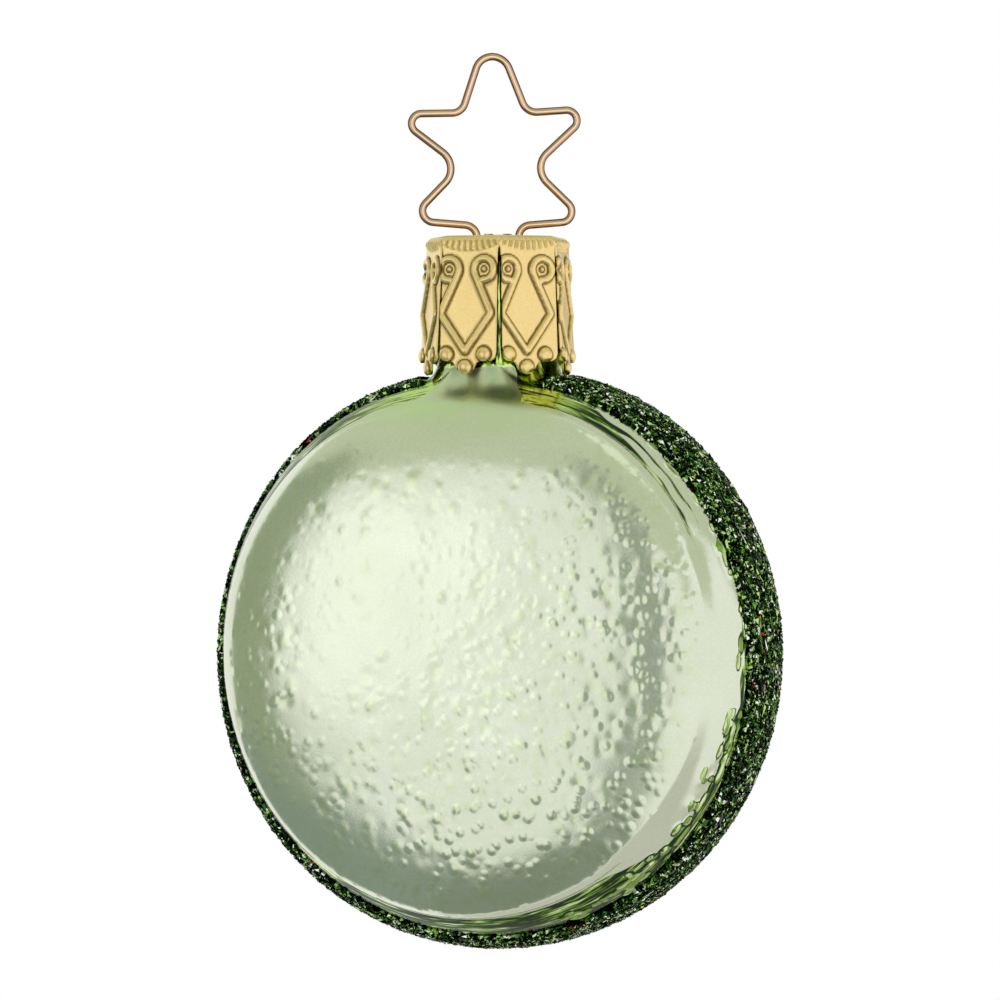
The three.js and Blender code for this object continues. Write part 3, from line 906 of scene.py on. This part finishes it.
def one_petal():
    bm = bmesh.new()
    bmesh.ops.create_grid(bm, x_segments=petal_columns, y_segments=petal_rows, size=1)
    u, v, _ = places(bm).T
    v = (v + 1) / 2
    straight = fold_end + (cap_height - straight_stops - fold_radius) / math.cos(petal_splay)
    along = np.interp(v, [0, plate_share, fold_share, end_share], [0, fold_start, fold_end, straight])
    end = fold_end + (scalloped_end(u * petal_foot) - fold_radius) / math.cos(petal_splay)
    past_straight = (v - end_share) / (1 - end_share)
    along = np.where(v > end_share, straight + (end - straight) * past_straight, along)
    apothem, height = folded(along)
    down = -height
    below_slit_top = np.maximum(0, down - slit_top)
    opened = slit_width[0] * (1 - np.exp(-below_slit_top / 0.22))
    opened = opened + (slit_width[1] - slit_width[0]) * below_slit_top / (cap_height - slit_top)
    untucked = np.where(down > cap_height - tip_bend_starts, cap_apothem + petal_flare, apothem)
    wide_at = np.minimum(np.where(along < fold_start, along, apothem), untucked)
    across = u * (wide_at * math.tan(sector) - opened / 2)
    lift, recess = stamped_relief(across, along, down)
    put(bm, np.column_stack([across, apothem, height]))
    lift_layer = bm.verts.layers.float.new("lift")
    recess_layer = bm.verts.layers.float.new("recess")
    for vertex, raised, low in zip(bm.verts, lift, recess):
        vertex[lift_layer] = raised
        vertex[recess_layer] = low
    return bm


crown = one_petal()
first_petal = crown.verts[:] + crown.edges[:] + crown.faces[:]
for i in range(1, petal_count):
    copied = bmesh.ops.duplicate(crown, geom=first_petal)["geom"]
    verts = [item for item in copied if isinstance(item, bmesh.types.BMVert)]
    bmesh.ops.rotate(crown, verts=verts, matrix=Matrix.Rotation(2 * sector * i, 3, "Z"))
bmesh.ops.remove_doubles(crown, verts=crown.verts, dist=0.004)

leg_spacing = 4.1
hole_radius = wire_radius + 0.35
for side in (-1, 1):
    hole = Vector((side * leg_spacing / 2, 0, 0))
    inside = []
    for face in crown.faces:
        centre = face.calc_center_median()
        if (centre - hole).xy.length < hole_radius and centre.z > -0.1:
            inside.append(face)
    bmesh.ops.delete(crown, geom=inside, context="FACES")
    for vertex in crown.verts:
        if vertex.is_boundary and (vertex.co - hole).length < hole_radius + 0.4:
            vertex.co = hole + (vertex.co - hole).normalized() * hole_radius
loose = [vertex for vertex in crown.verts if not vertex.link_faces]
bmesh.ops.delete(crown, geom=loose, context="VERTS")
bmesh.ops.recalc_face_normals(crown, faces=crown.faces)
if sum(face.normal.z for face in crown.faces) < 0:
    bmesh.ops.reverse_faces(crown, faces=crown.faces)
crown.normal_update()
outside = [(vertex, vertex.normal.copy()) for vertex in crown.verts]
bmesh.ops.solidify(crown, geom=crown.faces[:], thickness=sheet)
lift_layer = crown.verts.layers.float["lift"]
for vertex, normal in outside:
    vertex.co += normal * vertex[lift_layer]
order_faces(crown)
print("open edges left on the cap:", sum(edge.is_boundary for edge in crown.edges),
      "volume", crown.calc_volume(signed=True), "highest", max(vertex.co.z for vertex in crown.verts))

# %% [markdown]
# The sheet is pale satin gold. A roller left a fine grain on it. The gold is painted browner in
# the recesses, as painted shade.

# %% Finish of the cap
gold = new_finish("satin_gold_sheet")
recess = gold.carried("recess").step(0.15, 0.9)
speck = gold.grain(0.22, 3).step(0.35, 0.7)
tone = gold.mix(speck, (0.88, 0.66, 0.27), (0.93, 0.72, 0.33))
gold_sheet = gold.surface(
    # Browner in the recesses: painted shade.
    Base_Color=gold.mix(recess * 0.93, tone, (0.16, 0.08, 0.015)),
    Metallic=1.0,
    Roughness=gold.grain(1.6, 2) * 0.10 + 0.24,
    Normal=gold.bump(gold.grain(0.12, 3), 0.012),
)
finished_piece("crown", crown, plate_middle, crown_turn, "cap", "crown_cap", gold_sheet)

# %% [markdown]
# ## The star hanger
# One spring wire is bent round pins into a star whose two legs dive through the plate and press
# apart in the neck. Its line is the one the scrolls use. A grid is rolled into a tube round it.

# %% The wire
wire_sides = 20
apex_bend = 1.7
star_lean = 0.032
leg_bend = 1.2
splay_bend = 1.5
hanger_play = 3
leg_clearance = 0.3
leg_length = (cap_high.z - star_low.z) / mm
right_hand = [(4.15 + 13.65j, 1.4), (7.1 + 11.45j, -1.0), (6.4 + 6.75j, 2.0), (6.2 + 2.55j, -1.1)]
left_hand = [(4.15 + 13.55j, 1.4), (7.1 + 11.10j, -1.0), (6.4 + 6.75j, 2.0), (6.2 + 2.55j, -1.1)]
leg = [(leg_spacing / 2 + leg_bend + 0j, leg_bend),
       (leg_spacing / 2 + splay_bend - 1j * (sheet + hanger_play + cap_clearance), splay_bend),
       (neck_radius - glass_wall - leg_clearance - wire_radius - 1j * leg_length, 0)]
left_side = [(-place.conjugate(), bend) for place, bend in left_hand + leg]
pins = left_side[::-1] + [(1j * (star_height - apex_bend), -apex_bend)] + right_hand + leg


def even_steps(line, step):
    """The same line with a point at least every step."""
    points = [line[0]]
    for start, end in zip(line, line[1:]):
        count = max(1, math.ceil(abs(end - start) / step))
        points += [start + (end - start) * k / count for k in range(1, count + 1)]
    return np.array(points)


line = even_steps(line_round_pins(pins, math.radians(6)), 0.5)
line = line - star_lean * np.maximum(0, line.imag)
hanger = bmesh.new()
bmesh.ops.create_grid(hanger, x_segments=wire_sides, y_segments=len(line) - 1, size=1)
u, v, _ = places(hanger).T
station = np.rint((v + 1) / 2 * (len(line) - 1)).astype(int)
angle = (u + 1) * math.pi
heading = np.gradient(line)
heading = heading / np.abs(heading)
centre = line[station] - 1j * heading[station] * wire_radius * np.cos(angle)
put(hanger, np.column_stack([centre.real, wire_radius * np.sin(angle), centre.imag]))
length = np.concatenate([[0], np.cumsum(np.abs(np.diff(line)))])
wire_layer = hanger.verts.layers.float_vector.new("along_wire")
for vertex, k, a in zip(hanger.verts, station, angle):
    vertex[wire_layer] = Vector((math.cos(a), math.sin(a), length[k] / 40))
bmesh.ops.remove_doubles(hanger, verts=hanger.verts, dist=0.001)
bmesh.ops.holes_fill(hanger, edges=[edge for edge in hanger.edges if edge.is_boundary])
bmesh.ops.recalc_face_normals(hanger, faces=hanger.faces)
print(f"wire: {length[-1]:.0f} mm long, highest {max(vertex.co.z for vertex in hanger.verts):.2f}")

# %% [markdown]
# Drawn wire keeps faint lines along its length, so its pattern follows the wire: the mesh carries
# each vertex's turn round the wire and its way along it. The wire's front and back are painted
# bright as a painted highlight, and its sides are painted dark brown as painted shade.

# %% Finish of the wire
copper = new_finish("copper_gold_wire")
wire_way = copper.carried("along_wire", "Vector")
drawn = copper.node("TexNoise", sockets={"Vector": wire_way, "Scale": 4.0, "Detail": 3.0})
sideways = copper.node("SeparateXYZ", sockets={0: wire_way}, output=0)
# Painted light round the wire: a painted highlight on its front and back, painted shade on its sides.
painted_light_round_wire = sideways + (drawn - 0.5) * 0.5
painted_light_round_wire = painted_light_round_wire.maths("ABSOLUTE", painted_light_round_wire)
painted_highlight_tone = copper.mix(painted_light_round_wire.step(0.02, 0.42), (0.96, 0.78, 0.60), (0.62, 0.36, 0.19))
copper_wire = copper.surface(
    Base_Color=copper.mix(painted_light_round_wire.step(0.42, 0.92), painted_highlight_tone, (0.10, 0.042, 0.016)),
    Metallic=1.0,
    Roughness=drawn * 0.10 + 0.10,
    Normal=copper.bump(drawn, 0.006),
)
finished_piece("hanger_wire", hanger, plate_middle, crown_turn, "hanger", "star_hanger",
               copper_wire)

# %% [markdown]
# ## The studio
# Polished metal shows what is round it, so a photographer shapes it with what it can mirror. The
# background is white to the camera and in reflections, and grey cards stand where the mirror
# should go darker. The cards are seen in reflections only. Those above, below and straight ahead
# stand behind the object as well as before it, because its back is as bright a mirror as its face.
# The floor glows a little to the camera, which keeps it pale under its shadow, and isn't mirrored.

# %% Floor, background and cards
world = bpy.data.worlds.new("studio")
bpy.context.scene.world = world
air = Finish(world)
seen = air.node("LightPath", output="Is Camera Ray").most(air.node("LightPath", output="Is Glossy Ray"))
seen = seen.most(air.node("LightPath", output="Is Transmission Ray"))
room_level = 0.55
level = seen * (1 - room_level) + room_level
background = air.node("Background", sockets={"Color": (1, 1, 1), "Strength": level})
world_out = air.tree.nodes.new("ShaderNodeOutputWorld")
air.tree.links.new(background.socket, world_out.inputs["Surface"])

floor_drop = 70
floor_radius = 900
floor_glow = 0.6


def stage_piece(name, bm, material):
    mesh = bpy.data.meshes.new(name)
    bm.to_mesh(mesh)
    bm.free()
    mesh.materials.append(material)
    made = bpy.data.objects.new(name, mesh)
    bpy.context.scene.collection.objects.link(made)
    return made


def shown(finish, shader):
    out = finish.tree.nodes.new("ShaderNodeOutputMaterial")
    finish.tree.links.new(shader.socket, out.inputs["Surface"])
    return finish.owner


ground = new_finish("pale_floor")
from_middle = ground.node("VectorMath", {"operation": "LENGTH"}, {0: ground.place()}, "Value")
fade = from_middle.step(0.20, 0.55)
paper = ground.node("BsdfDiffuse", sockets={"Color": (0.86, 0.86, 0.86)})
glow = ground.node("Emission", sockets={"Color": (1, 1, 1), "Strength": 1.0})
paleness = ground.node("LightPath", output="Is Camera Ray") * floor_glow
paper = ground.node("MixShader", sockets={0: paleness, 1: paper, 2: glow})
open_air = ground.node("BsdfTransparent")
floor_bm = bmesh.new()
bmesh.ops.create_circle(floor_bm, cap_ends=True, segments=96, radius=floor_radius * mm)
faded = ground.node("MixShader", sockets={0: fade, 1: paper, 2: open_air})
floor = stage_piece("floor", floor_bm, shown(ground, faded))
floor.location.z = cad_low.z - floor_drop * mm
floor.visible_glossy = False

card_distance = 0.7


def toward(azimuth, elevation):
    """The way from the disc to a place in the studio. Azimuth 0 is straight before its face."""
    azimuth, elevation = math.radians(azimuth), math.radians(elevation)
    level = math.cos(elevation)
    return Vector((math.sin(azimuth) * level, -math.cos(azimuth) * level, math.sin(elevation)))


def set_facing_disc(made, azimuth, elevation, distance):
    way = toward(azimuth, elevation)
    made.location = disc_middle + way * distance
    made.rotation_euler = way.to_track_quat("Z", "Y").to_euler()


def card(name, azimuth, elevation, width, height, shade, tint, blur):
    """A grey card that only reflections see. Angles are in degrees, seen from the object."""
    finish = new_finish(name)
    aside = finish.node("SeparateXYZ", sockets={0: finish.place()}, output=0)
    upward = finish.node("SeparateXYZ", sockets={0: finish.place()}, output=1)
    half_width = card_distance * math.tan(math.radians(width / 2))
    half_height = card_distance * math.tan(math.radians(height / 2))
    shown_aside = aside.maths("ABSOLUTE", aside).step(half_width * (1 - blur), half_width, 1, 0)
    shown_upward = upward.maths("ABSOLUTE", upward).step(half_height * (1 - blur), half_height, 1, 0)
    grey = finish.node("Emission", sockets={"Color": tint, "Strength": shade})
    clear = finish.node("BsdfTransparent")
    bm = bmesh.new()
    bmesh.ops.create_grid(bm, x_segments=1, y_segments=1, size=1)
    bmesh.ops.scale(bm, vec=(half_width, half_height, 1), verts=bm.verts)
    both = finish.node("MixShader", sockets={0: shown_aside * shown_upward, 1: clear, 2: grey})
    made = stage_piece(name, bm, shown(finish, both))
    set_facing_disc(made, azimuth, elevation, card_distance)
    made.visible_camera = False
    made.visible_diffuse = False
    made.visible_shadow = False
    made.visible_transmission = False


card("left_card", -60, 6, 40, 54, 0.40, (0.86, 1.0, 0.72), 0.22)
card("corner_card", -64, -32, 74, 46, 0.34, (0.83, 1.0, 0.88), 0.3)
for half_turn, word, slot_shade, low_shade, low_tint in (
        (0, "front", 0.38, 0.30, (0.86, 1.0, 0.84)), (180, "back", 0.30, 0.66, (1.0, 0.99, 0.93))):
    card(f"{word}_top_card", half_turn - 14, 54, 116, 74, 0.67, (0.94, 1.0, 0.80), 0.16)
    card(f"{word}_slot_card", half_turn + 2, 4, 18, 66, slot_shade, (0.87, 1.0, 0.87), 0.5)
    card(f"{word}_low_card", half_turn - 28, -56, 88, 72, low_shade, low_tint, 0.3)

# %% [markdown]
# Two soft boxes add a little light of their own. The camera stands level with the disc, a metre off
# and 23 degrees round from its axis, with a long lens, and looks at the middle of the whole height.

# %% Lamps and camera
def lamp(name, azimuth, elevation, distance, size, radiance):
    """A square soft box aimed at the disc. Its power follows from how bright its face is to look."""
    light = bpy.data.lights.new(name, "AREA")
    light.shape = "SQUARE"
    light.size = size
    light.energy = radiance * math.pi * size * size
    made = bpy.data.objects.new(name, light)
    bpy.context.scene.collection.objects.link(made)
    set_facing_disc(made, azimuth, elevation, distance)


lamp("key_softbox", -29, 5, 0.60, 0.15, 0.28)
lamp("top_softbox", 40, 60, 0.60, 0.22, 0.3)

camera_azimuth = 23
camera_distance = 1000
picture_width = 97.8
picture_middle = 14.87
picture_aside = 0.2
camera_data = bpy.data.cameras.new("camera")
camera_data.sensor_width = 36
camera_data.lens = camera_data.sensor_width * camera_distance / picture_width
camera = bpy.data.objects.new("camera", camera_data)
bpy.context.scene.collection.objects.link(camera)
bpy.context.scene.camera = camera
right = toward(camera_azimuth + 90, 0) * picture_aside * mm
camera.location = disc_middle + toward(camera_azimuth, 0) * camera_distance * mm + right
target = disc_middle + Vector((0, 0, picture_middle * mm)) + right
camera.rotation_euler = (camera.location - target).to_track_quat("Z", "Y").to_euler()
camera_data.clip_start = 0.01
camera_data.clip_end = 20
bpy.context.scene.view_settings.view_transform = "Standard"

# %% Bringing the scene up to date
bpy.context.view_layer.update()
